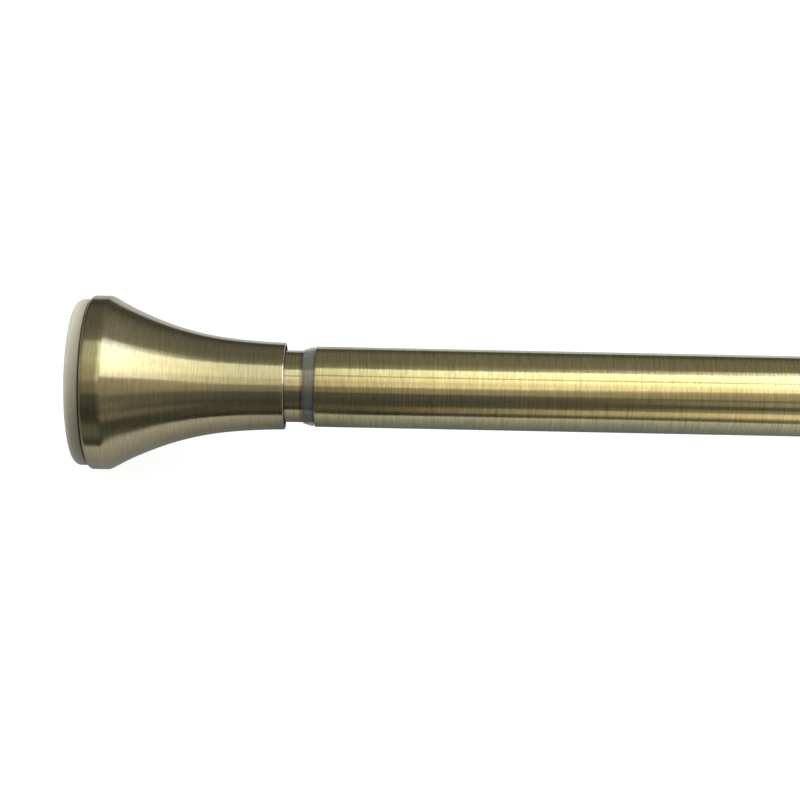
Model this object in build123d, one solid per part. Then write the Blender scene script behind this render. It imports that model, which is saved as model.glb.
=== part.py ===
from build123d import *
import math
import os

# Telescopic tension rod for a shower curtain, millimetres.
# The rod's axis is X. The origin is the centre of the left pad's wall face,
# +X runs along the rod to the right-hand wall, and +Z is up.
# The rod is drawn closed, with a few millimetres of the inner tube showing.

# ---------------------------------------------------------------- dimensions
CLOSED_LENGTH = 1100.0        # wall face to wall face, closed
TELESCOPE_IN = 5.5            # how much further the outer tube slides in
TELESCOPE_OUT = 795.0         # how far the outer tube pulls out
JACK_LEAD = 4.0               # spindle travel for one turn of the inner tube
JACK_TURNS = 6.0
SPRING_TRAVEL = 8.0           # cushion spring, from rest to nearly solid
WEDGE_TRAVEL = 1.2            # expanding sleeve along its cone

RUN = 0.08                    # radial clearance of a running fit
SEAT = 0.02                   # radial clearance of a pressed or threaded fit

INNER_OD = 25.0               # inner tube
OUTER_OD = 28.0               # outer tube
TUBE_WALL = 0.7
INNER_TUBE_X0 = 11.0
INNER_TUBE_X1 = 975.0
OUTER_TUBE_X0 = 82.8
RIM_ROUND = 0.3               # rolled edge at the open end of the outer tube

PAD_R = 28.87                 # soft wall pad
PAD_EDGE_ROUND = 2.8
PAD_PROUD = 5.35              # how far the pad stands out of the cap
PAD_THICK = 6.25
PAD_SPIGOT_R = 25.0
PAD_SPIGOT = 1.2

CAP_LENGTH = 67.05            # trumpet cap, mouth to neck
CAP_WALL = 0.8
CAP_LIP_R = 29.05             # inside radius of the turned-in lip
CAP_LIP = 0.9                 # its length
CAP_BAND_R = 30.2             # straight band at the mouth
CAP_BAND_END = 5.63
CAP_SHOULDER_ROUND = 4.2
CAP_SHOULDER_TURN = 28.5      # degrees
CAP_NECK_ROUND = 0.35
# flare of the cap: distance from the mouth, outside radius
CAP_FLARE = [
    (12.15, 27.20), (17.75, 24.56), (23.35, 22.26), (28.95, 20.30),
    (34.55, 18.74), (40.15, 17.49), (45.75, 16.60), (51.35, 15.98),
    (56.95, 15.56), (62.35, 15.27), (66.7, 15.12),
]
CAP_NECK_SLOPE = -0.03

CARRIER_R = 29.2              # moulded plate behind the pad
CARRIER_X0 = PAD_THICK
CARRIER_WEB_X1 = 10.5
HUB_X1 = 40.0                 # end of the left carrier's hub, in the inner tube
HEAD_BORE_R = 6.5             # counterbore for the pivot screw's head
HEAD_BORE_X1 = 12.0
PIVOT_R = 2.92                # shoulder of the pivot screw
PIVOT_THREAD_R = 2.4
PIVOT_HEAD_R = 5.4
PIVOT_HEAD = 2.8
PIVOT_END = 54.0
WASHER = 1.0
PLUG_X0 = 40.5
PLUG_X1 = 56.0

COLLAR_X0 = 78.7              # clear collar in the mouth of the outer tube
COLLAR_NOSE_R = 12.88
COLLAR_NOSE_ROUND = 0.25
COLLAR_BACK_R = 13.78
COLLAR_GROOVE = 0.45          # narrow gap left between its shoulder and the tube
COLLAR_X1 = 108.0

NUT_X0 = 945.0                # threaded plug in the end of the inner tube
NUT_FLANGE_R = 12.9
NUT_FLANGE = 2.5
GLIDE_X0 = 957.0
GLIDE_LIP = 0.95
SPINDLE_R = 5.0
SPINDLE_X0 = 914.0
SPINDLE_X1 = 1052.0
SPINDLE_FLATS_X0 = 990.0
SPINDLE_FLAT = 4.1            # half distance across the spindle's two flats
HEX_FLATS = 16.0              # nuts on the spindle, across flats
HEX_HIGH = 5.0
STOP_NUT_X0 = 915.5
SPRING_NUT_X0 = 981.0
SPRING_X0 = 986.0
SPRING_X1 = 1008.0
SPRING_WIRE = 2.0
SPRING_MEAN_R = 8.2
SPRING_TURNS = 4.5
SEAT_WASHER = 1.5
SEAT_WASHER_R = 11.0
CORE_X0 = SPRING_X1 + SEAT_WASHER
CORE_FLANGE = 3.0
CORE_FLANGE_R = 12.3
CORE_X1 = 1041.0
CORE_CONE_R0 = 11.6           # cone of the wedge core, wide end
CORE_CONE_R1 = 8.6            # narrow end
SLEEVE_X0 = 1014.0            # split expanding sleeve
SLEEVE_X1 = 1040.0
SLEEVE_SPLIT = 2.6
SLEEVE_GAP = 0.25             # between cone and sleeve when released
KEY_WIDE = 2.2                # rib of the core in the sleeve's split
PLATE = 1.5                   # retaining plate
PLATE_R = 12.3
END_NUT_X0 = 1042.8

RIGHT_HUB_X0 = 1068.0         # inner end of the right carrier's hub; clears the
                              # spindle with the spring and the tube pushed in
OUTER_TUBE_X1 = CLOSED_LENGTH - INNER_TUBE_X0

# --------------------------------------------------------------- derived
INNER_RO = INNER_OD / 2
INNER_RI = INNER_RO - TUBE_WALL
OUTER_RO = OUTER_OD / 2
OUTER_RI = OUTER_RO - TUBE_WALL
CAP_X0 = PAD_PROUD
CAP_X1 = PAD_PROUD + CAP_LENGTH
MID = Plane.YZ.offset(CLOSED_LENGTH / 2)


# --------------------------------------------------------------- helpers
def spin(*lines):
    """Solid turned about X from a closed outline in the upper half of XY."""
    face = make_face(lines)
    return revolve(face, axis=Axis.X)


def turned(*points):
    """Solid turned about X from (x, radius) corners."""
    return spin(Polyline(*points, close=True))


def ring(x0, x1, r_in, r_out):
    return turned((x0, r_in), (x1, r_in), (x1, r_out), (x0, r_out))


def hex_nut(x0):
    """Plain hexagon nut on the spindle, its corners bevelled."""
    plane = Plane(origin=(x0, 0, 0), x_dir=(0, 1, 0), z_dir=(1, 0, 0))
    body = extrude(plane * RegularPolygon(HEX_FLATS / 2, 6, major_radius=False), HEX_HIGH)
    flat, corner = HEX_FLATS / 2, HEX_FLATS / 2 / math.cos(math.radians(30))
    x1 = x0 + HEX_HIGH
    bevel = 0.5
    turned_blank = turned(
        (x0, 0), (x1, 0), (x1, flat), (x1 - bevel, corner + 0.02),
        (x0 + bevel, corner + 0.02), (x0, flat),
    )
    bore = turned((x0 - 1, 0), (x1 + 1, 0), (x1 + 1, SPINDLE_R + SEAT), (x0 - 1, SPINDLE_R + SEAT))
    return (body & turned_blank) - bore


def flare_normals(points, first, last):
    """Points pushed in by the wall along the flare's own normal."""
    out = []
    for i, (d, r) in enumerate(points):
        if i == 0:
            slope = first
        elif i == len(points) - 1:
            slope = last
        else:
            (d0, r0), (d1, r1) = points[i - 1], points[i + 1]
            slope = (r1 - r0) / (d1 - d0)
        n = math.hypot(1, slope)
        out.append((d + CAP_WALL * slope / n, r - CAP_WALL / n))
    return out


# --------------------------------------------------------------- wall feet
def make_pad():
    e = PAD_EDGE_ROUND
    c = e * (1 - math.sqrt(0.5))
    return spin(
        Line((0, 0), (0, PAD_R - e)),
        ThreePointArc((0, PAD_R - e), (c, PAD_R - c), (e, PAD_R)),
        Line((e, PAD_R), (PAD_THICK, PAD_R)),
        Line((PAD_THICK, PAD_R), (PAD_THICK, PAD_SPIGOT_R)),
        Line((PAD_THICK, PAD_SPIGOT_R), (PAD_THICK + PAD_SPIGOT, PAD_SPIGOT_R)),
        Line((PAD_THICK + PAD_SPIGOT, PAD_SPIGOT_R), (PAD_THICK + PAD_SPIGOT, 0)),
        Line((PAD_THICK + PAD_SPIGOT, 0), (0, 0)),
    )


def make_cap():
    """Drawn trumpet shell: turned-in lip, band, shoulder, flare and neck."""
    lip_round = CAP_BAND_R - CAP_LIP_R
    turn = math.radians(CAP_SHOULDER_TURN)
    s_round = CAP_SHOULDER_ROUND
    shoulder = (
        CAP_BAND_END + s_round * math.sin(turn),
        CAP_BAND_R - s_round * (1 - math.cos(turn)),
    )
    shoulder_mid = (
        CAP_BAND_END + s_round * math.sin(turn / 2),
        CAP_BAND_R - s_round * (1 - math.cos(turn / 2)),
    )
    slope = -math.tan(turn)
    outer = [shoulder] + CAP_FLARE
    inner = flare_normals(outer, slope, CAP_NECK_SLOPE)
    inner_band_r = CAP_BAND_R - CAP_WALL
    inner_round = s_round - CAP_WALL
    inner_mid = (
        CAP_BAND_END + inner_round * math.sin(turn / 2),
        inner_band_r - inner_round * (1 - math.cos(turn / 2)),
    )

    def at(p):
        return (CAP_X0 + p[0], p[1])

    neck_out = outer[-1]
    neck_tip = (CAP_LENGTH, neck_out[1] - CAP_NECK_ROUND)
    q = CAP_NECK_ROUND * (1 - math.sqrt(0.5))
    neck_mid = (CAP_LENGTH - q, neck_out[1] - q)
    neck_in = (CAP_LENGTH, inner[-1][1])
    c = lip_round * math.sqrt(0.5)
    return spin(
        ThreePointArc(at((0, CAP_LIP_R)), at((lip_round - c, CAP_LIP_R + c)), at((lip_round, CAP_BAND_R))),
        Line(at((lip_round, CAP_BAND_R)), at((CAP_BAND_END, CAP_BAND_R))),
        ThreePointArc(at((CAP_BAND_END, CAP_BAND_R)), at(shoulder_mid), at(shoulder)),
        Spline(*[at(p) for p in outer], tangents=[(1, slope), (1, CAP_NECK_SLOPE)]),
        ThreePointArc(at(neck_out), at(neck_mid), at(neck_tip)),
        Line(at(neck_tip), at(neck_in)),
        Line(at(neck_in), at(inner[-1])),
        Spline(*[at(p) for p in reversed(inner)], tangents=[(-1, -CAP_NECK_SLOPE), (-1, -slope)]),
        ThreePointArc(at(inner[0]), at(inner_mid), at((CAP_BAND_END, inner_band_r))),
        Line(at((CAP_BAND_END, inner_band_r)), at((CAP_LIP, inner_band_r))),
        Line(at((CAP_LIP, inner_band_r)), at((CAP_LIP, CAP_LIP_R))),
        Line(at((CAP_LIP, CAP_LIP_R)), at((0, CAP_LIP_R))),
    )


def carrier_plate(hub_r, hub_x1, hub_bore_r):
    """Plate that snaps in behind the cap's lip, with a hub for the tube."""
    socket_r = PAD_SPIGOT_R + 0.05
    socket_x1 = CARRIER_X0 + PAD_SPIGOT + 0.05
    return turned(
        (CARRIER_X0, socket_r),
        (CARRIER_X0, CARRIER_R),
        (CARRIER_WEB_X1 - 1.2, CARRIER_R),
        (CARRIER_WEB_X1, CARRIER_R - 1.2),
        (CARRIER_WEB_X1, hub_r),
        (hub_x1 - 1.0, hub_r),
        (hub_x1, hub_r - 1.0),
        (hub_x1, hub_bore_r),
        (HEAD_BORE_X1, hub_bore_r),
        (HEAD_BORE_X1, HEAD_BORE_R),
        (socket_x1, HEAD_BORE_R),
        (socket_x1, socket_r),
    )


def stiffening_ribs(r_in, r_out, x0, x1, count, wide):
    """Radial ribs on the back of the carrier plate."""
    ribs = []
    for i in range(count):
        rib = Pos((x0 + x1) / 2, (r_in + r_out) / 2, 0) * Box(x1 - x0, r_out - r_in, wide)
        ribs.append(Rot(360.0 * i / count + 22.5, 0, 0) * rib)
    return ribs


left_pad = make_pad()
left_cap = make_cap()
left_carrier = carrier_plate(INNER_RI - RUN, HUB_X1, PIVOT_R + RUN)
for rib in stiffening_ribs(16.0, 26.0, CARRIER_WEB_X1 - 0.2, 13.5, 8, 1.6):
    left_carrier += rib

right_pad = mirror(make_pad(), about=MID)
right_cap = mirror(make_cap(), about=MID)
right_carrier = carrier_plate(OUTER_RI - SEAT, CLOSED_LENGTH - RIGHT_HUB_X0, 4.0)
for rib in stiffening_ribs(17.0, 26.0, CARRIER_WEB_X1 - 0.2, 13.5, 8, 1.6):
    right_carrier += rib
right_carrier = mirror(right_carrier, about=MID)

# --------------------------------------------------------------- inner tube
inner_tube = ring(INNER_TUBE_X0, INNER_TUBE_X1, INNER_RI, INNER_RO)

end_plug = turned(
    (PLUG_X0, PIVOT_THREAD_R + SEAT),
    (PLUG_X0, INNER_RI - SEAT - 0.8),
    (PLUG_X0 + 0.8, INNER_RI - SEAT),
    (PLUG_X1, INNER_RI - SEAT),
    (PLUG_X1, PIVOT_THREAD_R + SEAT),
)

head_x1 = HEAD_BORE_X1 - WASHER
head_x0 = head_x1 - PIVOT_HEAD
pivot_screw = spin(
    Line((head_x0, 0), (head_x0, PIVOT_HEAD_R - 1.8)),
    ThreePointArc((head_x0, PIVOT_HEAD_R - 1.8), (head_x0 + 0.55, PIVOT_HEAD_R - 0.55), (head_x0 + 1.8, PIVOT_HEAD_R)),
    Line((head_x0 + 1.8, PIVOT_HEAD_R), (head_x1, PIVOT_HEAD_R)),
    Line((head_x1, PIVOT_HEAD_R), (head_x1, PIVOT_R)),
    Line((head_x1, PIVOT_R), (PLUG_X0 - 0.05, PIVOT_R)),
    Line((PLUG_X0 - 0.05, PIVOT_R), (PLUG_X0 - 0.05, PIVOT_THREAD_R)),
    Line((PLUG_X0 - 0.05, PIVOT_THREAD_R), (PIVOT_END - 1.5, PIVOT_THREAD_R)),
    Line((PIVOT_END - 1.5, PIVOT_THREAD_R), (PIVOT_END, 0.8)),
    Line((PIVOT_END, 0.8), (PIVOT_END, 0)),
    Line((PIVOT_END, 0), (head_x0, 0)),
)
# cross recess in the screw's head
for turn_deg in (0, 90):
    pivot_screw -= Pos(head_x0 + 0.6, 0, 0) * (Rot(turn_deg, 0, 0) * Box(1.6, 1.0, 5.4))

pivot_washer = ring(head_x1, HEAD_BORE_X1, PIVOT_R + RUN, HEAD_BORE_R - 0.2)

glide_x1 = INNER_TUBE_X1 + GLIDE_LIP
glide_ring = turned(
    (GLIDE_X0, INNER_RO + SEAT),
    (INNER_TUBE_X1 + 0.02, INNER_RO + SEAT),
    (INNER_TUBE_X1 + 0.02, INNER_RI + 0.1),
    (glide_x1, INNER_RI + 0.1),
    (glide_x1, OUTER_RI - RUN),
    (GLIDE_X0 + 1.0, OUTER_RI - RUN),
    (GLIDE_X0, OUTER_RI - RUN - 0.4),
)

nut_x1 = glide_x1 + NUT_FLANGE
drive_nut = turned(
    (NUT_X0, SPINDLE_R + RUN),
    (NUT_X0, INNER_RI - SEAT - 0.8),
    (NUT_X0 + 0.8, INNER_RI - SEAT),
    (glide_x1, INNER_RI - SEAT),
    (glide_x1, NUT_FLANGE_R),
    (nut_x1, NUT_FLANGE_R),
    (nut_x1, SPINDLE_R + RUN),
)

# --------------------------------------------------------------- jack spindle
spindle = turned(
    (SPINDLE_X0, 0), (SPINDLE_X0, SPINDLE_R - 1.0), (SPINDLE_X0 + 1.0, SPINDLE_R),
    (SPINDLE_X1 - 1.0, SPINDLE_R), (SPINDLE_X1, SPINDLE_R - 1.0), (SPINDLE_X1, 0),
)
flats_long = SPINDLE_X1 - SPINDLE_FLATS_X0 + 2
for side in (-1, 1):
    spindle -= Pos(
        SPINDLE_FLATS_X0 + flats_long / 2, 0, side * (SPINDLE_FLAT + 2)
    ) * Box(flats_long, 12, 4)

stop_nut = hex_nut(STOP_NUT_X0)
spring_nut = hex_nut(SPRING_NUT_X0) + (
    ring(SPRING_NUT_X0 + HEX_HIGH - 1.5, SPRING_NUT_X0 + HEX_HIGH, SPINDLE_R + SEAT, 10.5)
)
end_nut = hex_nut(END_NUT_X0)

# --------------------------------------------------------------- spring and lock
coil_long = SPRING_X1 - SPRING_X0 - SPRING_WIRE - 0.1
coil = Helix(pitch=coil_long / SPRING_TURNS, height=coil_long, radius=SPRING_MEAN_R)
wire_plane = Plane(origin=coil @ 0, z_dir=coil % 0)
cushion_spring = sweep(wire_plane * Circle(SPRING_WIRE / 2), path=coil)
cushion_spring = Pos(SPRING_X0 + SPRING_WIRE / 2 + 0.05, 0, 0) * (Rot(0, 90, 0) * cushion_spring)


def double_d(x0, x1, r, half):
    """Bore or shaft with two flats, along X."""
    rod = turned((x0, 0), (x1, 0), (x1, r), (x0, r))
    return rod & (Pos((x0 + x1) / 2, 0, 0) * Box(x1 - x0, 3 * r, 2 * half))


keyed_bore = double_d(CORE_X0 - 5, CORE_X1 + 5, SPINDLE_R + RUN, SPINDLE_FLAT + RUN)

spring_seat = ring(SPRING_X1, CORE_X0, 0.001, SEAT_WASHER_R) - keyed_bore

core_cone_x0 = CORE_X0 + CORE_FLANGE
lock_core = turned(
    (CORE_X0, 0), (CORE_X0, CORE_FLANGE_R), (core_cone_x0, CORE_FLANGE_R),
    (core_cone_x0, CORE_CONE_R0), (CORE_X1, CORE_CONE_R1), (CORE_X1, 0),
)
# rib that keys the core to the split sleeve
rib_long = CORE_X1 - core_cone_x0
rib_block = Pos(core_cone_x0 + rib_long / 2, 0, 9.5) * Box(rib_long, KEY_WIDE, 6.2)
rib_limit = turned((core_cone_x0, 0), (CORE_X1, 0), (CORE_X1, 12.3), (core_cone_x0, 12.3))
lock_core = lock_core + (rib_block & rib_limit) - keyed_bore

cone_slope = (CORE_CONE_R1 - CORE_CONE_R0) / (CORE_X1 - core_cone_x0)


def cone_r(x):
    return CORE_CONE_R0 + cone_slope * (x - core_cone_x0)


lock_sleeve = turned(
    (SLEEVE_X0, cone_r(SLEEVE_X0) + SLEEVE_GAP),
    (SLEEVE_X0, OUTER_RI - RUN - 0.6),
    (SLEEVE_X0 + 1.2, OUTER_RI - RUN),
    (SLEEVE_X1 - 1.2, OUTER_RI - RUN),
    (SLEEVE_X1, OUTER_RI - RUN - 0.6),
    (SLEEVE_X1, cone_r(SLEEVE_X1) + SLEEVE_GAP),
)
sleeve_mid = (SLEEVE_X0 + SLEEVE_X1) / 2
lock_sleeve -= Pos(sleeve_mid, 0, 12) * Box(SLEEVE_X1 - SLEEVE_X0 + 2, SLEEVE_SPLIT, 10)
# grip grooves round the sleeve
for i in range(5):
    gx = SLEEVE_X0 + 5.0 + 4.0 * i
    lock_sleeve -= ring(gx - 0.5, gx + 0.5, OUTER_RI - RUN - 0.5, OUTER_RI + 1)

lock_plate = ring(CORE_X1, CORE_X1 + PLATE, 0.001, PLATE_R) - keyed_bore

# --------------------------------------------------------------- outer tube
b = RIM_ROUND
c = b * (1 - math.sqrt(0.5))
outer_tube = spin(
    Line((OUTER_TUBE_X0, OUTER_RI), (OUTER_TUBE_X0, OUTER_RO - b)),
    ThreePointArc((OUTER_TUBE_X0, OUTER_RO - b), (OUTER_TUBE_X0 + c, OUTER_RO - c), (OUTER_TUBE_X0 + b, OUTER_RO)),
    Line((OUTER_TUBE_X0 + b, OUTER_RO), (OUTER_TUBE_X1, OUTER_RO)),
    Line((OUTER_TUBE_X1, OUTER_RO), (OUTER_TUBE_X1, OUTER_RI)),
    Line((OUTER_TUBE_X1, OUTER_RI), (OUTER_TUBE_X0, OUTER_RI)),
)

collar_tip = COLLAR_X0 + COLLAR_NOSE_ROUND
collar_back = OUTER_TUBE_X0 - COLLAR_GROOVE
q = COLLAR_NOSE_ROUND * (1 - math.sqrt(0.5))
collar_bush = spin(
    Line((COLLAR_X0, INNER_RO + RUN), (COLLAR_X0, COLLAR_NOSE_R - COLLAR_NOSE_ROUND)),
    ThreePointArc((COLLAR_X0, COLLAR_NOSE_R - COLLAR_NOSE_ROUND), (COLLAR_X0 + q, COLLAR_NOSE_R - q), (collar_tip, COLLAR_NOSE_R)),
    ThreePointArc(
        (collar_tip, COLLAR_NOSE_R),
        ((collar_tip + collar_back) / 2, (COLLAR_NOSE_R + COLLAR_BACK_R) / 2 + 0.07),
        (collar_back, COLLAR_BACK_R),
    ),
    Line((collar_back, COLLAR_BACK_R), (collar_back, OUTER_RI - 0.05)),
    Line((collar_back, OUTER_RI - 0.05), (OUTER_TUBE_X0, OUTER_RI - 0.05)),
    Line((OUTER_TUBE_X0, OUTER_RI - 0.05), (OUTER_TUBE_X0, OUTER_RI - SEAT)),
    Line((OUTER_TUBE_X0, OUTER_RI - SEAT), (COLLAR_X1, OUTER_RI - SEAT)),
    Line((COLLAR_X1, OUTER_RI - SEAT), (COLLAR_X1, INNER_RO + RUN)),
    Line((COLLAR_X1, INNER_RO + RUN), (COLLAR_X0, INNER_RO + RUN)),
)

# --------------------------------------------------------------- write
NODES = {
    "left_pad": left_pad,
    "left_carrier": left_carrier,
    "left_cap": left_cap,
    "inner_tube": inner_tube,
    "end_plug": end_plug,
    "pivot_screw": pivot_screw,
    "pivot_washer": pivot_washer,
    "drive_nut": drive_nut,
    "glide_ring": glide_ring,
    "spindle": spindle,
    "stop_nut": stop_nut,
    "spring_nut": spring_nut,
    "end_nut": end_nut,
    "cushion_spring": cushion_spring,
    "spring_seat": spring_seat,
    "lock_core": lock_core,
    "lock_plate": lock_plate,
    "lock_sleeve": lock_sleeve,
    "outer_tube": outer_tube,
    "collar_bush": collar_bush,
    "right_carrier": right_carrier,
    "right_cap": right_cap,
    "right_pad": right_pad,
}

os.makedirs("parts", exist_ok=True)
for name, shape in NODES.items():
    solids = shape.solids()
    if len(solids) != 1:
        raise SystemExit(f"{name} has {len(solids)} solids")
    export_step(solids[0], f"parts/{name}.step")
    box = solids[0].bounding_box()
    print(f"{name:16s} {solids[0].volume:10.1f} mm3  x {box.min.X:8.2f} to {box.max.X:8.2f}")
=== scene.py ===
import math

import bmesh
import bpy
from mathutils import Matrix, Vector


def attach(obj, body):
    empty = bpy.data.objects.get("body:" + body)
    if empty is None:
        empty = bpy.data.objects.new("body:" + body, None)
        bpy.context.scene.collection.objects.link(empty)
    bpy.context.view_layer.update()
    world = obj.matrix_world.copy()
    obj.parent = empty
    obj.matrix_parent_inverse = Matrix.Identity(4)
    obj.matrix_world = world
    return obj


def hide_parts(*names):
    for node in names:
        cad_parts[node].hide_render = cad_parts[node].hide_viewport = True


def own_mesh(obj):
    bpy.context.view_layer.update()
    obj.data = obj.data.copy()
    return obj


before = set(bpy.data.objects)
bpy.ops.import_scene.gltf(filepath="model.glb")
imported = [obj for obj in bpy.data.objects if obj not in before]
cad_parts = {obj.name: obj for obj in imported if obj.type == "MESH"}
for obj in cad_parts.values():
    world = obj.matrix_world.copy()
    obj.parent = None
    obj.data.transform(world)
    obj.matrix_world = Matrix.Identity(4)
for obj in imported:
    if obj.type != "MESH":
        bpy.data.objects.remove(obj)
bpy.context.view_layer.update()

MM = 0.001
scene = bpy.context.scene
scene.view_settings.view_transform = "Standard"
scene.view_settings.look = "None"

# ------------------------------------------------------------------ sizes (mm)
LENGTH = 1100.0
FLOOR_Z = -30.3

# trumpet cap, distance from its mouth and outside radius
CAP_X0, CAP_LENGTH, CAP_WALL = 5.35, 67.05, 0.8
CAP_LIP_R, CAP_LIP, CAP_BAND_R, CAP_BAND_END = 29.05, 0.9, 30.2, 5.63
CAP_SHOULDER_ROUND, CAP_SHOULDER_TURN = 4.2, math.radians(28.5)
CAP_FLARE = [
    (12.15, 27.20), (17.75, 24.56), (23.35, 22.26), (28.95, 20.30),
    (34.55, 18.74), (40.15, 17.49), (45.75, 16.60), (51.35, 15.98),
    (56.95, 15.56), (62.35, 15.27), (66.7, 15.12),
]
CAP_NECK_SLOPE, CAP_NECK_ROUND = -0.03, 0.35

INNER_RO, INNER_RI, INNER_X0, INNER_X1 = 12.5, 11.8, 11.0, 975.0
OUTER_RO, OUTER_RI, OUTER_X0, OUTER_X1 = 14.0, 13.3, 82.8, 1089.0


# ------------------------------------------------------------------ mesh helpers
def arc(cx, cy, r, a0, a1, n):
    """Points on an arc in the (x, radius) plane, angles in degrees."""
    out = []
    for i in range(n + 1):
        a = math.radians(a0 + (a1 - a0) * i / n)
        out.append((cx + r * math.cos(a), cy + r * math.sin(a)))
    return out


def cubic(points, slope0, slope1, step):
    """Clamped cubic spline y(x) through points, sampled about every step. Gives (x, y, slope)."""
    n = len(points)
    x = [p[0] for p in points]
    y = [p[1] for p in points]
    h = [x[i + 1] - x[i] for i in range(n - 1)]
    a, b, c, d = [0.0] * n, [0.0] * n, [0.0] * n, [0.0] * n
    b[0], c[0], d[0] = 2 * h[0], h[0], 6 * ((y[1] - y[0]) / h[0] - slope0)
    for i in range(1, n - 1):
        a[i], b[i], c[i] = h[i - 1], 2 * (h[i - 1] + h[i]), h[i]
        d[i] = 6 * ((y[i + 1] - y[i]) / h[i] - (y[i] - y[i - 1]) / h[i - 1])
    a[-1], b[-1] = h[-1], 2 * h[-1]
    d[-1] = 6 * (slope1 - (y[-1] - y[-2]) / h[-1])
    for i in range(1, n):
        m = a[i] / b[i - 1]
        b[i] -= m * c[i - 1]
        d[i] -= m * d[i - 1]
    k = [0.0] * n
    k[-1] = d[-1] / b[-1]
    for i in range(n - 2, -1, -1):
        k[i] = (d[i] - c[i] * k[i + 1]) / b[i]
    out = []
    for i in range(n - 1):
        count = max(1, round(h[i] / step))
        for j in range(count + (i == n - 2)):
            t = h[i] * j / count
            c1 = (y[i + 1] - y[i]) / h[i] - h[i] * (2 * k[i] + k[i + 1]) / 6
            out.append((
                x[i] + t,
                y[i] + c1 * t + k[i] * t * t / 2 + (k[i + 1] - k[i]) * t ** 3 / (6 * h[i]),
                c1 + k[i] * t + (k[i + 1] - k[i]) * t * t / (2 * h[i]),
            ))
    return out


def lathe(name, profile, body, node, material, around=192, flip=False, wobble=None):
    """A closed (x, radius) outline in millimetres, turned about X. Points with radius 0 become poles."""
    if flip:
        profile = [(LENGTH - x, r) for x, r in profile]
    bm = bmesh.new()
    rings = []
    for x, r in profile:
        if r < 1e-6:
            rings.append([bm.verts.new((x * MM, 0, 0))])
            continue
        ring = []
        for i in range(around):
            a = 2 * math.pi * i / around
            xx, rr = wobble(x, r, a) if wobble else (x, r)
            ring.append(bm.verts.new((xx * MM, rr * MM * math.cos(a), rr * MM * math.sin(a))))
        rings.append(ring)
    m = len(rings)
    for k in range(m):
        p, q = rings[k], rings[(k + 1) % m]
        if len(p) == 1 and len(q) == 1:
            continue
        for i in range(around):
            j = (i + 1) % around
            if len(p) == 1:
                bm.faces.new((p[0], q[j], q[i]))
            elif len(q) == 1:
                bm.faces.new((p[i], p[j], q[0]))
            else:
                bm.faces.new((p[i], p[j], q[j], q[i]))
    bmesh.ops.recalc_face_normals(bm, faces=bm.faces)
    mesh = bpy.data.meshes.new(name)
    bm.to_mesh(mesh)
    bm.free()
    for poly in mesh.polygons:
        poly.use_smooth = True
    mesh.set_sharp_from_angle(angle=math.radians(38))
    obj = bpy.data.objects.new(name, mesh)
    scene.collection.objects.link(obj)
    mesh.materials.append(material)
    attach(obj, body)
    if node:
        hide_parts(node)
    return obj


# ------------------------------------------------------------------ node helpers
class Tree:
    def __init__(self, name):
        self.mat = bpy.data.materials.new(name)
        self.mat.use_nodes = True
        self.t = self.mat.node_tree
        self.t.nodes.clear()
        self.out = self.t.nodes.new("ShaderNodeOutputMaterial")
        self.at = self.t.nodes.new("ShaderNodeTexCoord").outputs["Object"]

    def node(self, kind, **sockets):
        n = self.t.nodes.new(kind)
        for k, v in sockets.items():
            if k.startswith("_"):
                setattr(n, k[1:], v)
        return n

    def link(self, a, b):
        self.t.links.new(a, b)

    def scaled(self, sx, sy, sz, off=(0, 0, 0)):
        n = self.t.nodes.new("ShaderNodeMapping")
        n.inputs["Scale"].default_value = (sx, sy, sz)
        n.inputs["Location"].default_value = off
        self.link(self.at, n.inputs["Vector"])
        return n.outputs["Vector"]

    def noise(self, vector, scale=1.0, detail=2.0, rough=0.5):
        n = self.t.nodes.new("ShaderNodeTexNoise")
        n.inputs["Scale"].default_value = scale
        n.inputs["Detail"].default_value = detail
        n.inputs["Roughness"].default_value = rough
        self.link(vector, n.inputs["Vector"])
        return n.outputs["Fac"]

    def ramp(self, value, lo, hi, out0=0.0, out1=1.0):
        n = self.t.nodes.new("ShaderNodeMapRange")
        n.inputs["From Min"].default_value = lo
        n.inputs["From Max"].default_value = hi
        n.inputs["To Min"].default_value = out0
        n.inputs["To Max"].default_value = out1
        self.link(value, n.inputs["Value"])
        return n.outputs["Result"]

    def math(self, op, a, b=None):
        n = self.t.nodes.new("ShaderNodeMath")
        n.operation = op
        for i, v in enumerate((a, b)):
            if v is None:
                continue
            if isinstance(v, (int, float)):
                n.inputs[i].default_value = v
            else:
                self.link(v, n.inputs[i])
        return n.outputs[0]

    def mix(self, fac, a, b):
        n = self.t.nodes.new("ShaderNodeMix")
        n.data_type = "RGBA"
        n.clamp_factor = True
        self.link(fac, n.inputs[0]) if not isinstance(fac, float) else setattr(n.inputs[0], "default_value", fac)
        for i, v in ((6, a), (7, b)):
            if isinstance(v, tuple):
                n.inputs[i].default_value = (*v, 1)
            else:
                self.link(v, n.inputs[i])
        return n.outputs[2]

    def bump(self, height, distance, strength=1.0, normal=None):
        n = self.t.nodes.new("ShaderNodeBump")
        n.inputs["Strength"].default_value = strength
        n.inputs["Distance"].default_value = distance
        self.link(height, n.inputs["Height"])
        if normal is not None:
            self.link(normal, n.inputs["Normal"])
        return n.outputs["Normal"]

    def principled(self):
        n = self.t.nodes.new("ShaderNodeBsdfPrincipled")
        self.link(n.outputs[0], self.out.inputs["Surface"])
        return n


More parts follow.
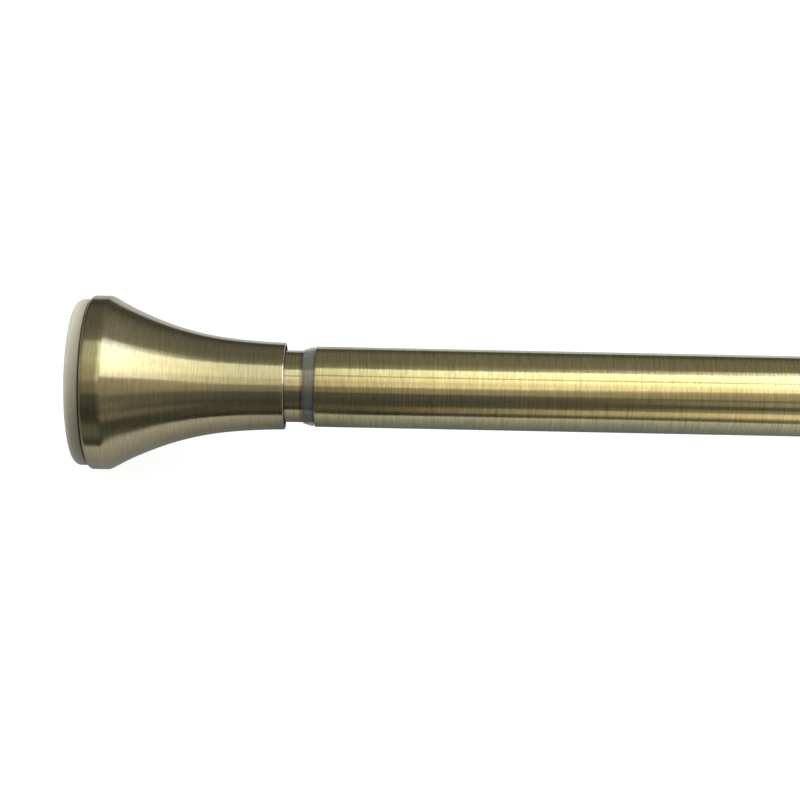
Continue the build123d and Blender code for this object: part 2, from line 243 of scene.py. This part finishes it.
def brass(name, streak=1.0, rough=0.215, dark=(0.46, 0.40, 0.185), light=(0.76, 0.68, 0.345), worn=(), rim=(0.66, 0.65, 0.60), shade_bands=(), dark_line=False):
    """Antique brass plating, brushed round the rod's axis and lacquered.
    worn: stretches in millimetres from the rod's end where the plating is rubbed to bare steel;
    dull: stretches where a painted contact shadow darkens the brass; seam: a thin dark line painted along the tube at a
    fixed angle round it."""
    t = Tree(name)
    fine = t.noise(t.scaled(2000, 130, 130), detail=2.0, rough=0.65)
    long = t.noise(t.scaled(1500, 30, 30, (5.0, 2.0, 7.0)), detail=1.0, rough=0.5)
    broad = t.noise(t.scaled(520, 40, 40, (3.1, 1.7, 0.4)), detail=3.0, rough=0.6)
    along = t.noise(t.scaled(7, 560, 560, (0.3, 5.1, 2.2)), detail=2.0, rough=0.5)
    cloud = t.noise(t.scaled(26, 40, 40, (7.7, 0.2, 4.4)), detail=3.0, rough=0.55)
    deep = t.noise(t.scaled(1300, 120, 120, (11.0, 3.0, 8.0)), detail=1.0, rough=0.5)
    ragged = t.noise(t.scaled(1500, 210, 210, (1.0, 6.0, 2.0)), detail=1.0, rough=0.5)
    f = t.math("ADD", t.math("MULTIPLY", t.ramp(fine, 0.28, 0.72), 0.42), t.math("MULTIPLY", t.ramp(broad, 0.30, 0.70), 0.12))
    f = t.math("ADD", f, t.math("MULTIPLY", t.ramp(long, 0.3, 0.7), 0.16))
    f = t.math("ADD", f, t.math("MULTIPLY", t.ramp(cloud, 0.3, 0.7), 0.14))
    f = t.math("ADD", f, t.math("MULTIPLY", t.ramp(along, 0.3, 0.7), 0.14))
    f = t.math("SUBTRACT", f, t.math("MULTIPLY", t.ramp(deep, 0.62, 0.76), 0.34 * streak))
    colour = t.mix(t.ramp(f, 0.10, 0.86), dark, light)
    split = t.t.nodes.new("ShaderNodeSeparateXYZ")
    t.link(t.at, split.inputs[0])
    sx, sy, sz = split.outputs
    if worn or shade_bands:
        inward = t.math("SUBTRACT", LENGTH * MM / 2, t.math("ABSOLUTE", t.math("SUBTRACT", sx, LENGTH * MM / 2)))
        inward = t.math("ADD", inward, t.ramp(ragged, 0.3, 0.7, -0.00008, 0.00008))
        for x0, x1 in worn:
            rubbed = t.math("MULTIPLY", t.ramp(inward, x0 * MM - 0.0001, x0 * MM), t.ramp(inward, x1 * MM, x1 * MM + 0.0003, 1.0, 0.0))
            colour = t.mix(rubbed, colour, rim)
        # painted shade: each of these stretches is darkened towards dark brown, a painted contact shadow
        for x0, x1 in shade_bands:
            contact_shade = t.math("MULTIPLY", t.ramp(inward, (x0 - 0.5) * MM, x0 * MM, 0.0, 0.75), t.ramp(inward, x1 * MM, (x1 + 0.5) * MM, 1.0, 0.0))
            colour = t.mix(contact_shade, colour, (0.26, 0.215, 0.125))
    # a thin dark line painted along the tube at a fixed angle round it, swaying a little along its length, with ragged
    # edges
    if dark_line:
        round_angle = t.math("ARCTAN2", sz, t.math("MULTIPLY", sy, -1.0))
        sway = t.math("MULTIPLY", t.math("COSINE", t.math("MULTIPLY", t.math("SUBTRACT", sx, 0.135), 2 * math.pi / 0.26)), math.radians(0.55))
        off = t.math("ABSOLUTE", t.math("ADD", t.math("SUBTRACT", round_angle, math.radians(60.85)), sway))
        off = t.math("ADD", off, t.ramp(ragged, 0.3, 0.7, -0.006, 0.006))
        colour = t.mix(t.ramp(off, 0.008, 0.027, 0.52, 0.0), colour, (0.10, 0.075, 0.03))
    p = t.principled()
    t.link(colour, p.inputs["Base Color"])
    p.inputs["Metallic"].default_value = 1.0
    t.link(t.ramp(broad, 0.25, 0.75, rough + 0.03, rough - 0.02), p.inputs["Roughness"])
    p.inputs["Anisotropic"].default_value = 0.97
    p.inputs["Anisotropic Rotation"].default_value = 0.25
    tangent = t.t.nodes.new("ShaderNodeTangent")
    tangent.direction_type = "RADIAL"
    tangent.axis = "X"
    t.link(tangent.outputs[0], p.inputs["Tangent"])
    height = t.math("ADD", t.math("MULTIPLY", fine, 0.35), t.math("MULTIPLY", broad, 0.6))
    height = t.math("ADD", height, t.math("MULTIPLY", ragged, 0.45))
    t.link(t.bump(height, 0.00005 * streak), p.inputs["Normal"])
    p.inputs["Coat Weight"].default_value = 0.55
    p.inputs["Coat Roughness"].default_value = 0.08
    return t.mat


def cream_rubber():
    """Soft cream rubber, slightly see-through, with painted shade darkening it towards the cap and a painted shadow
    line where it meets the cap's lip.
    """
    t = Tree("cream_rubber")
    cloud = t.noise(t.scaled(60, 90, 90), detail=3.0)
    grain = t.noise(t.scaled(2600, 2600, 2600), detail=2.0)
    speck = t.noise(t.scaled(900, 900, 900, (2, 5, 1)), detail=1.0)
    split = t.t.nodes.new("ShaderNodeSeparateXYZ")
    t.link(t.at, split.inputs[0])
    inward = t.math("SUBTRACT", LENGTH * MM / 2, t.math("ABSOLUTE", t.math("SUBTRACT", split.outputs[0], LENGTH * MM / 2)))
    p = t.principled()
    colour = t.mix(t.ramp(cloud, 0.3, 0.7), (0.72, 0.70, 0.56), (0.79, 0.775, 0.63))
    # painted shade: darker and yellower towards the cap, from 1 to 5 mm in from the pad's face
    colour = t.mix(t.ramp(inward, 0.0010, 0.0050, 0.0, 1.0), colour, (0.46, 0.43, 0.30))
    # painted shadow: a near-black line in the groove at the cap's lip
    colour = t.mix(t.ramp(inward, 0.00480, 0.00505, 0.0, 1.0), colour, (0.06, 0.055, 0.035))
    colour = t.mix(t.ramp(speck, 0.68, 0.80, 0.0, 0.30), colour, (0.62, 0.59, 0.46))
    t.link(colour, p.inputs["Base Color"])
    p.inputs["Subsurface Weight"].default_value = 0.5
    p.inputs["Subsurface Radius"].default_value = (1.0, 0.9, 0.65)
    p.inputs["Subsurface Scale"].default_value = 0.0012
    t.link(t.ramp(grain, 0.3, 0.7, 0.34, 0.46), p.inputs["Roughness"])
    p.inputs["Specular IOR Level"].default_value = 0.45
    t.link(t.bump(grain, 0.00002), p.inputs["Normal"])
    return t.mat


def clear_plastic():
    """Clear moulded plastic with a grey cast: the metal under it shows through dimly."""
    t = Tree("clear_plastic")
    cloud = t.noise(t.scaled(1500, 60, 60), detail=2.0)
    flow = t.noise(t.scaled(160, 220, 220, (4, 1, 9)), detail=2.0)
    p = t.principled()
    t.link(t.mix(t.ramp(cloud, 0.3, 0.7), (0.255, 0.252, 0.232), (0.325, 0.322, 0.298)), p.inputs["Base Color"])
    edge = t.t.nodes.new("ShaderNodeLayerWeight")
    edge.inputs["Blend"].default_value = 0.5
    t.link(t.math("ADD", t.ramp(flow, 0.3, 0.7, 0.33, 0.40), t.ramp(edge.outputs["Facing"], 0.40, 0.70, 0.0, 0.30)), p.inputs["Alpha"])
    p.inputs["IOR"].default_value = 1.58
    p.inputs["Specular IOR Level"].default_value = 0.7
    p.inputs["Coat Weight"].default_value = 0.8
    p.inputs["Coat Roughness"].default_value = 0.1
    t.link(t.ramp(cloud, 0.3, 0.7, 0.14, 0.24), p.inputs["Roughness"])
    t.link(t.bump(cloud, 0.00003), p.inputs["Normal"])
    return t.mat


def moulded(name, colour, dark, rough=0.45):
    t = Tree(name)
    cloud = t.noise(t.scaled(70, 70, 70), detail=3.0)
    grain = t.noise(t.scaled(2200, 2200, 2200), detail=2.0)
    p = t.principled()
    t.link(t.mix(t.ramp(cloud, 0.3, 0.7), dark, colour), p.inputs["Base Color"])
    t.link(t.ramp(grain, 0.3, 0.7, rough - 0.06, rough + 0.08), p.inputs["Roughness"])
    t.link(t.bump(grain, 0.00002), p.inputs["Normal"])
    return t.mat


def plain_metal(name, light, dark, rough=0.32, lines=700.0):
    t = Tree(name)
    turned = t.noise(t.scaled(lines, 30, 30), detail=2.0)
    cloud = t.noise(t.scaled(120, 120, 120), detail=3.0)
    p = t.principled()
    t.link(t.mix(t.ramp(cloud, 0.3, 0.7), dark, light), p.inputs["Base Color"])
    p.inputs["Metallic"].default_value = 1.0
    t.link(t.ramp(turned, 0.3, 0.7, rough - 0.06, rough + 0.1), p.inputs["Roughness"])
    t.link(t.bump(turned, 0.00003), p.inputs["Normal"])
    return t.mat


# inner tube: its brass colours are darker than the outer tube's, a painted shade for the shadow of the cap's neck; at
# 78-79.5 mm from the end a band of painted contact shadow sits against the collar
TUBE = brass("antique_brass_tube", dark=(0.395, 0.352, 0.182), light=(0.65, 0.585, 0.325), shade_bands=[(78.0, 79.5)], dark_line=True)
OUTER = brass("antique_brass_outer_tube", worn=[(82.8, 83.05)], rim=(0.42, 0.40, 0.34), dark_line=True)
CAP = brass("antique_brass_cap", streak=0.85, rough=0.24, dark=(0.352, 0.312, 0.165), light=(0.495, 0.447, 0.253), worn=[(72.15, 72.5)], rim=(0.56, 0.55, 0.50))
RUBBER = cream_rubber()
CLEAR = clear_plastic()
OFFWHITE = moulded("carrier_plastic", (0.74, 0.73, 0.66), (0.68, 0.66, 0.58))
BLACK = moulded("black_plastic", (0.035, 0.035, 0.036), (0.022, 0.022, 0.022), 0.4)
WHITE = moulded("white_plastic", (0.80, 0.80, 0.77), (0.72, 0.72, 0.69), 0.38)
ZINC = plain_metal("zinc_plated", (0.66, 0.67, 0.68), (0.50, 0.51, 0.53))
SPRING = plain_metal("spring_steel", (0.40, 0.40, 0.42), (0.24, 0.24, 0.25), 0.36, 900.0)


# ------------------------------------------------------------------ outlines
def cap_outline():
    lip = CAP_BAND_R - CAP_LIP_R
    turn, s = CAP_SHOULDER_TURN, CAP_SHOULDER_ROUND
    outer = arc(lip, CAP_LIP_R, lip, 180, 90, 14)                     # rolled lip
    outer += [(CAP_BAND_END * k / 4 + lip * (1 - k / 4), CAP_BAND_R) for k in (1, 2, 3)]
    outer += arc(CAP_BAND_END, CAP_BAND_R - s, s, 90, 90 - math.degrees(turn), 14)
    flare = cubic([outer[-1]] + CAP_FLARE, -math.tan(turn), CAP_NECK_SLOPE, 1.1)
    outer += [(x, y) for x, y, _ in flare[1:]]
    q = CAP_NECK_ROUND
    end = flare[-1]
    outer += arc(CAP_LENGTH - q, end[1] - q, q, 90, 0, 6)[1:]
    inner = []
    for x, y, k in flare:
        n = math.hypot(1, k)
        inner.append((x + CAP_WALL * k / n, y - CAP_WALL / n))
    neck_r = inner[-1][1]
    inner[-1] = (CAP_LENGTH - 0.12, neck_r)
    outer.append((CAP_LENGTH, neck_r + 0.12))
    inner_band = CAP_BAND_R - CAP_WALL
    inner = list(reversed(inner))
    inner += arc(CAP_BAND_END, CAP_BAND_R - s, s - CAP_WALL, 90 - math.degrees(turn), 90, 8)[1:]
    inner += [(CAP_LIP, inner_band), (CAP_LIP, CAP_LIP_R + 0.1), (CAP_LIP - 0.1, CAP_LIP_R), (0.12, CAP_LIP_R)]
    outer[0] = (0.02, CAP_LIP_R + 0.06)
    return [(CAP_X0 + x, r) for x, r in outer + inner]


def pad_outline():
    e, r, thick, spigot_r, spigot = 2.3, 28.87, 6.25, 25.0, 1.2
    pts = [(0.0, 0.0)]
    pts += [(0.0, k) for k in (4, 9, 14, 19, 23)]
    pts += arc(e, r - e, e, 180, 90, 18)
    pts += arc(4.6, r - 0.3, 0.3, 90, 0, 6)                            # narrow groove at the cap's lip
    pts += [(5.0, 28.3), (5.35, 28.2), (thick, 28.2), (thick, spigot_r)]
    pts += [(thick + spigot, spigot_r), (thick + spigot, 0.0)]
    return pts


def tube_outline(x0, x1, ro, ri, edge):
    pts = [(x0 + edge * 0.6, ri), (x0, ri + edge * 0.6)]
    pts += [(x0, ro - edge)]
    pts += arc(x0 + edge, ro - edge, edge, 180, 90, 5)[1:]
    span = x1 - x0 - 2 * edge
    pts += [(x0 + edge + span * k / 12, ro) for k in range(1, 12)]
    pts += arc(x1 - edge, ro - edge, edge, 90, 0, 5)
    pts += [(x1, ri)]
    return pts


def collar_outline():
    ri, x0, back, nose_r, back_r, q = INNER_RO + 0.08, 78.7, 82.35, 12.88, 13.78, 0.25
    pts = [(x0 + 0.08, ri), (x0, ri + 0.05)]
    pts += arc(x0 + q, nose_r - q, q, 180, 100, 6)
    for k in range(1, 8):
        t = k / 8
        pts.append((x0 + q + (back - x0 - q) * t, nose_r + (back_r - nose_r) * t + 4 * 0.07 * t * (1 - t)))
    pts += arc(back - 0.1, back_r - 0.1, 0.1, 80, 0, 4)
    pts += [(back, 13.4), (back + 0.1, 13.26), (82.8, 13.26), (95.0, 13.27), (108.0, 13.27), (108.0, ri), (95.0, ri)]
    return pts


cap = cap_outline()
lathe("left_trumpet", cap, "left_foot", "left_cap", CAP, 256)
lathe("right_trumpet", cap, "outer_tube_group", "right_cap", CAP, 256, flip=True)
pad = pad_outline()
lathe("left_wall_pad", pad, "left_foot", "left_pad", RUBBER, 192)
lathe("right_wall_pad", pad, "outer_tube_group", "right_pad", RUBBER, 192, flip=True)
lathe("inner_tube_skin", tube_outline(INNER_X0, INNER_X1, INNER_RO, INNER_RI, 0.12), "inner_tube_group", "inner_tube", TUBE, 256)
lathe("outer_tube_skin", tube_outline(OUTER_X0, OUTER_X1, OUTER_RO, OUTER_RI, 0.3), "outer_tube_group", "outer_tube", OUTER, 256)
lathe("clear_collar", collar_outline(), "outer_tube_group", "collar_bush", CLEAR, 192)

# CAD nodes that stay, with their finishes
FINISH = {
    "left_carrier": OFFWHITE, "right_carrier": OFFWHITE,
    "end_plug": BLACK, "drive_nut": BLACK, "lock_core": BLACK,
    "glide_ring": WHITE, "lock_sleeve": WHITE,
    "pivot_screw": ZINC, "pivot_washer": ZINC, "spindle": ZINC, "stop_nut": ZINC,
    "spring_nut": ZINC, "end_nut": ZINC, "spring_seat": ZINC, "lock_plate": ZINC,
}
for name, material in FINISH.items():
    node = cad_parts[name]
    node.data.materials.clear()
    node.data.materials.append(material)

# the spring shortens towards its nut, from 22 to 14 mm, as the lock is pushed back
coil_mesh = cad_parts["cushion_spring"].data.copy()
coil_mesh.name = "pressure_spring"
coil_mesh.materials.clear()
coil_mesh.materials.append(SPRING)
coil = bpy.data.objects.new("pressure_spring", coil_mesh)
scene.collection.objects.link(coil)
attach(coil, "jack_spindle")
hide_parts("cushion_spring")
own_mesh(coil)

# ------------------------------------------------------------------ floor
def staged_sheet(name, corners):
    """Flat stage piece from corners in millimetres."""
    mesh = bpy.data.meshes.new(name)
    mesh.from_pydata([tuple(v * MM for v in c) for c in corners], [], [tuple(range(len(corners)))])
    obj = bpy.data.objects.new(name, mesh)
    scene.collection.objects.link(obj)
    return obj


def only_in_the_metal(obj):
    obj.visible_camera = False
    obj.visible_diffuse = False
    obj.visible_shadow = False
    obj.visible_transmission = False


def ramp_node(tree, value, table):
    n = tree.nodes.new("ShaderNodeValToRGB")
    els = n.color_ramp.elements
    while len(els) > 1:
        els.remove(els[-1])
    els[0].position = table[0][0]
    els[0].color = (*table[0][1], 1)
    for pos, colour in table[1:]:
        e = els.new(pos)
        e.color = (*colour, 1)
    tree.links.new(value, n.inputs[0])
    return n.outputs[0]


def grey(v):
    return (v, v, v)


def glow(name, along, across, peak, diffuse=None, one_sided=True):
    """Even light whose strength changes along X and across Y; tables are (millimetres, colour)."""
    for table in (along, across):
        peak *= max(max(c) for _, c in table)
    along, across = [[(v, tuple(k / max(max(c) for _, c in table) for k in colour)) for v, colour in table] for table in (along, across)]
    mat = bpy.data.materials.new(name)
    mat.use_nodes = True
    t = mat.node_tree
    t.nodes.clear()
    out = t.nodes.new("ShaderNodeOutputMaterial")
    place = t.nodes.new("ShaderNodeTexCoord")
    split = t.nodes.new("ShaderNodeSeparateXYZ")
    t.links.new(place.outputs["Object"], split.inputs[0])
    parts = []
    for table, axis in ((along, 0), (across, 1)):
        lo, hi = table[0][0], table[-1][0]
        fit = t.nodes.new("ShaderNodeMapRange")
        fit.inputs["From Min"].default_value = lo * MM
        fit.inputs["From Max"].default_value = hi * MM
        t.links.new(split.outputs[axis], fit.inputs["Value"])
        parts.append(ramp_node(t, fit.outputs[0], [((v - lo) / (hi - lo), c) for v, c in table]))
    mul = t.nodes.new("ShaderNodeMix")
    mul.data_type = "RGBA"
    mul.blend_type = "MULTIPLY"
    mul.inputs[0].default_value = 1.0
    t.links.new(parts[0], mul.inputs[6])
    t.links.new(parts[1], mul.inputs[7])
    em = t.nodes.new("ShaderNodeEmission")
    em.inputs["Strength"].default_value = peak
    t.links.new(mul.outputs[2], em.inputs["Color"])
    face = em.outputs[0]
    if diffuse:
        add = t.nodes.new("ShaderNodeAddShader")
        di = t.nodes.new("ShaderNodeBsdfDiffuse")
        di.inputs["Color"].default_value = (*diffuse, 1)
        t.links.new(face, add.inputs[0])
        t.links.new(di.outputs[0], add.inputs[1])
        face = add.outputs[0]
    if one_sided:
        mix = t.nodes.new("ShaderNodeMixShader")
        clear = t.nodes.new("ShaderNodeBsdfTransparent")
        geo = t.nodes.new("ShaderNodeNewGeometry")
        t.links.new(geo.outputs["Backfacing"], mix.inputs[0])
        t.links.new(face, mix.inputs[1])
        t.links.new(clear.outputs[0], mix.inputs[2])
        face = mix.outputs[0]
    t.links.new(face, out.inputs["Surface"])
    return mat


flat_x = [(-1000, grey(1.0)), (1000, grey(1.0))]
flat_y = [(-1000, grey(1.0)), (1000, grey(1.0))]

floor = staged_sheet("floor", [(-12000, -12000, FLOOR_Z), (13000, -12000, FLOOR_Z), (13000, 12000, FLOOR_Z), (-12000, 12000, FLOOR_Z)])
floor.data.materials.append(glow("pale_floor", flat_x, flat_y, 0.93, diffuse=(0.25, 0.25, 0.25)))
floor.visible_glossy = False

# what the rod gets from the floor: a lit strip under and behind it, a dark line, a warm patch, then dark
floor.visible_diffuse = False
MIRROR_Z = FLOOR_Z - 0.05
FRONT_EDGE = [(-12000, -57), (60, -57), (82, -49), (125, -51), (200, -52), (265, -46), (330, -44), (378, -40), (450, -46), (600, -50), (13000, -50)]
strip = staged_sheet("mirror_strip", [(x, y, MIRROR_Z) for x, y in FRONT_EDGE] + [(13000, 400, MIRROR_Z), (-12000, 400, MIRROR_Z)])
strip.data.materials.append(glow("strip_glow", [
    (-200, (0.94, 0.86, 0.79)), (0, (1.0, 0.92, 0.85)), (30, (1.29, 1.19, 1.10)), (62, (1.25, 1.16, 1.08)), (87, (0.76, 0.74, 0.72)), (100, grey(1.04)),
    (187, grey(1.05)), (260, grey(1.28)), (600, grey(1.28))], [
    (-57, (0.57, 0.60, 0.72)), (-45, (0.53, 0.56, 0.65)), (-20, (0.245, 0.262, 0.285)), (-5, (0.15, 0.161, 0.166)), (10, (0.10, 0.107, 0.105)),
    (60, (0.52, 0.55, 0.60)), (400, (0.58, 0.61, 0.67))], 1.0))
front = staged_sheet("mirror_front", [(-12000, -12000, MIRROR_Z), (13000, -12000, MIRROR_Z)] + [(x, y, MIRROR_Z) for x, y in reversed(FRONT_EDGE)])
front.data.materials.append(glow("front_glow", [
    (-400, (0.28, 0.34, 0.37)), (0, (0.20, 0.25, 0.28)), (50, (0.125, 0.14, 0.15)), (84, (0.085, 0.092, 0.097)), (104, grey(0.16)), (130, grey(0.37)),
    (164, grey(0.46)), (204, grey(0.69)), (224, grey(0.78)), (264, grey(1.18)), (320, grey(1.1)), (420, grey(0.7))],
    [(-1500, (0.22, 0.21, 0.21)), (-700, (0.25, 0.23, 0.22)), (-300, (0.32, 0.29, 0.26)), (-180, (0.86, 0.76, 0.66)), (-100, (1.0, 0.87, 0.75)),
     (-88, (0.95, 0.82, 0.68)), (-66, (0.22, 0.20, 0.15)), (-44, (0.10, 0.09, 0.07))], 1.0))
for obj in (strip, front):
    only_in_the_metal(obj)
    obj.visible_diffuse = True

# two low cards to the right of the viewer
for name, z0, z1, near, mid in (("low_card", -30, 4, 0.33, 0.33), ("middle_card", 44, 92, 0.28, 0.46)):
    card = staged_sheet(name, [(180, -200, z0), (1600, -200, z0), (1600, -200, z1), (180, -200, z1)])
    card.data.materials.append(glow(name + "_glow", [(180, grey(0.0)), (190, grey(0.0)), (242, grey(near)), (290, grey(mid)), (340, grey(0.45)), (1600, grey(0.4))],
                                    [(-1000, (1.0, 0.92, 0.86)), (1000, (1.0, 0.92, 0.86))], 1.0, one_sided=False))
    only_in_the_metal(card)

# soft panel over the rod, brighter to the right, warmer along its near side
PANEL_Z = 600.0
far_light = glow("panel_far_light", [
    (-20, grey(1.12)), (64, grey(1.48)), (98, grey(1.74)), (202, grey(1.72)), (271, (1.68, 1.68, 1.48)), (378, (2.1, 2.1, 1.75)),
    (400, (2.5, 2.5, 2.4)), (450, (2.9, 2.95, 3.5)), (590, (3.4, 3.45, 4.2)), (1200, (3.3, 3.3, 4.0)), (2600, (2.2, 2.2, 2.4))],
    [(-250, (1.0, 0.98, 0.84)), (-70, (1.0, 1.0, 0.88)), (84, (1.13, 1.14, 1.12)), (300, (1.13, 1.14, 1.14))], 1.0, one_sided=False)
near_light = glow("panel_near_light", [
    (-20, grey(1.10)), (64, grey(1.32)), (98, grey(2.06)), (133, grey(1.64)), (202, grey(1.60)), (271, (1.28, 1.28, 1.17)), (378, (1.16, 1.16, 1.0)),
    (400, (1.8, 1.8, 1.75)), (450, (2.7, 2.7, 3.25)), (590, (3.4, 3.4, 4.2)), (1200, (3.3, 3.3, 4.0)), (2600, (2.2, 2.2, 2.4))],
    [(-580, (0.98, 0.88, 0.74)), (-452, (1.02, 0.93, 0.79)), (-375, (0.70, 0.65, 0.52)),
     (-293, (0.94, 0.88, 0.73)), (-250, (0.96, 0.92, 0.78))], 1.0, one_sided=False)
left_light = glow("panel_left_light", [
    (-1400, grey(0.8)), (-650, grey(0.8)), (-520, grey(0.1)), (-170, grey(0.1)), (-101, grey(0.76)), (-20, grey(1.12))],
    [(-580, (0.82, 0.73, 0.59)), (-375, (0.74, 0.68, 0.55)), (-200, (0.95, 0.90, 0.76)), (0, (0.98, 0.97, 0.86)), (60, (0.88, 0.87, 0.78)),
     (120, (0.42, 0.41, 0.37)), (180, (0.28, 0.27, 0.24))], 1.0, one_sided=False)
panel_left = [(-1400, -580), (-20, -580), (-20, 94), (-90, 140), (-1400, 180)]
panel_near = [(-20, -580), (130, -580), (260, -550), (378, -488), (550, -430), (2700, -430), (2700, -250), (-20, -250)]
panel_far = [(-20, -250), (2700, -250), (2700, 285), (560, 275), (457, 262), (430, 214), (386, 116), (340, 110), (306, 108), (237, 89), (200, 84), (-20, 94)]
for name, edge, light in (("panel_left", panel_left, left_light), ("panel_near", panel_near, near_light), ("panel_far", panel_far, far_light)):
    panel = staged_sheet(name, [(x, y, PANEL_Z) for x, y in edge])
    panel.data.materials.append(light)
    only_in_the_metal(panel)

# ------------------------------------------------------------------ studio light
world = bpy.data.worlds.new("studio")
scene.world = world
world.use_nodes = True
world.cycles.sampling_method = "NONE"
w = world.node_tree
w.nodes.clear()


def wn(kind):
    return w.nodes.new(kind)


def wmath(op, a, b=None):
    n = wn("ShaderNodeMath")
    n.operation = op
    for i, v in enumerate((a, b)):
        if v is None:
            continue
        if isinstance(v, (int, float)):
            n.inputs[i].default_value = v
        else:
            w.links.new(v, n.inputs[i])
    return n.outputs[0]


def wmix(kind, a, b):
    n = wn("ShaderNodeMix")
    n.data_type = "RGBA"
    n.blend_type = kind
    n.inputs[0].default_value = 1.0
    w.links.new(a, n.inputs[6])
    w.links.new(b, n.inputs[7])
    return n.outputs[2]


coord = wn("ShaderNodeTexCoord")
split = wn("ShaderNodeSeparateXYZ")
w.links.new(coord.outputs["Generated"], split.inputs[0])
dx, dy, dz = split.outputs
# angle up from the viewer's side: 0 level in front, 90 overhead, 180 level behind
phi = wmath("MULTIPLY", wmath("ARCTAN2", dz, wmath("MULTIPLY", dy, -1.0)), 180 / math.pi / 360)
phi = wmath("ADD", phi, 0.5)          # 0..1 for -180..180 degrees
# sideways tilt in degrees, + to the right
across = wmath("SQRT", wmath("ADD", wmath("MULTIPLY", dy, dy), wmath("MULTIPLY", dz, dz)))
side = wmath("MULTIPLY", wmath("ARCTAN2", dx, across), 180 / math.pi / 180)
side = wmath("ADD", side, 0.5)        # 0..1 for -90..90 degrees


def by_height(table):
    return ramp_node(w, phi, [((a + 180) / 360, c) for a, c in table])


def by_side(table):
    return ramp_node(w, side, [((a + 90) / 180, c) for a, c in table])


# the dark room behind the viewer, by how far it lies to the side
room = wmix("MULTIPLY",
            by_height([(-180, grey(1.0)), (8, grey(1.0)), (16, grey(1.25)), (28.5, grey(1.0)), (30.5, grey(0.0))]),
            by_side([(-90, grey(0.30)), (-50, grey(0.30)), (-42, grey(0.05)), (-10, grey(0.055)), (0, (0.085, 0.10, 0.13)),
                     (11, (0.078, 0.078, 0.08)), (32, grey(0.078)), (44, grey(0.22)), (90, grey(0.22))]))
# tan band under the panel
tan = wmix("MULTIPLY",
           by_height([(28.5, grey(0.0)), (30.5, grey(0.92)), (37, grey(1.0)), (47, grey(1.22)), (48, grey(0.0))]),
           by_side([(-90, grey(0.30)), (-50, grey(0.30)), (-42, grey(0.12)), (-14, grey(0.14)), (-8, (0.36, 0.315, 0.27)), (-2.3, (0.60, 0.51, 0.43)),
                    (3, (0.40, 0.34, 0.29)), (6, (0.31, 0.266, 0.225)), (11, (0.57, 0.485, 0.41)), (36, (0.62, 0.53, 0.44)), (60, (0.5, 0.42, 0.36))]))
# its lower edge drops to the right
tail = wmix("MULTIPLY",
            by_height([(-12, grey(0.0)), (0, grey(0.2)), (10, grey(0.42)), (20, grey(0.85)), (28.5, grey(1.0)), (30.5, grey(0.0))]),
            by_side([(0, grey(0.01)), (6, grey(0.04)), (11, (0.20, 0.18, 0.13)), (22, (0.115, 0.105, 0.07)), (34, (0.15, 0.14, 0.09)), (44, (0.40, 0.37, 0.25)), (60, grey(0.2))]))
# wall and ceiling beyond the panel, dark again at the foot of the far wall
behind = wmix("MULTIPLY",
              by_height([(47, grey(0.0)), (48, grey(0.25)), (99, grey(0.25)), (101, (0.355, 0.34, 0.31)),
                         (124, (0.25, 0.24, 0.225)), (145, (0.24, 0.235, 0.225)), (160, (0.205, 0.20, 0.19)), (172, (0.105, 0.10, 0.09)), (180, (0.085, 0.085, 0.075))]),
              by_side([(-90, grey(1.6)), (-50, grey(1.5)), (-42, grey(0.30)), (-14, grey(0.5)), (-11, grey(0.98)), (0, grey(0.98)), (6.5, grey(0.84)),
                       (19, grey(1.02)), (34, grey(1.75)), (60, grey(1.5))]))
seen_by_metal = wmix("ADD", wmix("ADD", wmix("ADD", room, tan), tail), behind)

# even light for everything that scatters: strongest from above and behind
soft = wmix("MULTIPLY",
            by_height([(-180, grey(0.9)), (-90, grey(0.62)), (0, (0.09, 0.08, 0.055)), (30, (0.13, 0.12, 0.09)), (48, grey(0.50)), (90, grey(0.90)), (112, grey(1.35)), (180, grey(1.35))]),
            by_side([(-90, grey(1.2)), (-40, grey(1.1)), (0, grey(0.85)), (60, grey(0.75)), (90, grey(0.75))]))

path = wn("ShaderNodeLightPath")
lit = wn("ShaderNodeBackground")
w.links.new(seen_by_metal, lit.inputs["Color"])
even = wn("ShaderNodeBackground")
even.inputs["Strength"].default_value = 1.15
w.links.new(soft, even.inputs["Color"])
white = wn("ShaderNodeBackground")
white.inputs["Color"].default_value = (1, 1, 1, 1)
pick = wn("ShaderNodeMixShader")
w.links.new(path.outputs["Is Glossy Ray"], pick.inputs[0])
w.links.new(even.outputs[0], pick.inputs[1])
w.links.new(lit.outputs[0], pick.inputs[2])
choose = wn("ShaderNodeMixShader")
w.links.new(path.outputs["Is Camera Ray"], choose.inputs[0])
w.links.new(pick.outputs[0], choose.inputs[1])
w.links.new(white.outputs[0], choose.inputs[2])
wout = wn("ShaderNodeOutputWorld")
w.links.new(choose.outputs[0], wout.inputs["Surface"])

# ------------------------------------------------------------------ camera
PX = 0.34822                   # millimetres to one pixel of an 800 x 800 picture at the rod
FOCAL_PX = 1750.0
ELEVATION = math.radians(45.0)
ROLL = math.radians(1.15)      # the rod falls to the right by this much in the picture
DISTANCE = FOCAL_PX * PX
AXIS_AT_CENTRE = Vector((112.2, 0, 0))   # the axis point under the picture's middle column
AXIS_ABOVE_CENTRE = 11.65 * PX

forward = Vector((0, math.cos(ELEVATION), -math.sin(ELEVATION)))
right0 = Vector((1, 0, 0))
up0 = Vector((0, math.sin(ELEVATION), math.cos(ELEVATION)))
right = right0 * math.cos(ROLL) + up0 * math.sin(ROLL)
up = up0 * math.cos(ROLL) - right0 * math.sin(ROLL)
eye = AXIS_AT_CENTRE - forward * DISTANCE - up * AXIS_ABOVE_CENTRE
camera_data = bpy.data.cameras.new("camera")
camera_data.sensor_width = 36.0
camera_data.lens = 36.0 * FOCAL_PX / 800.0
camera_data.clip_start, camera_data.clip_end = 0.01, 100.0
camera = bpy.data.objects.new("camera", camera_data)
scene.collection.objects.link(camera)
rot = Matrix((right, up, -forward)).transposed()
camera.matrix_world = Matrix.Translation(eye * MM) @ rot.to_4x4()
scene.camera = camera
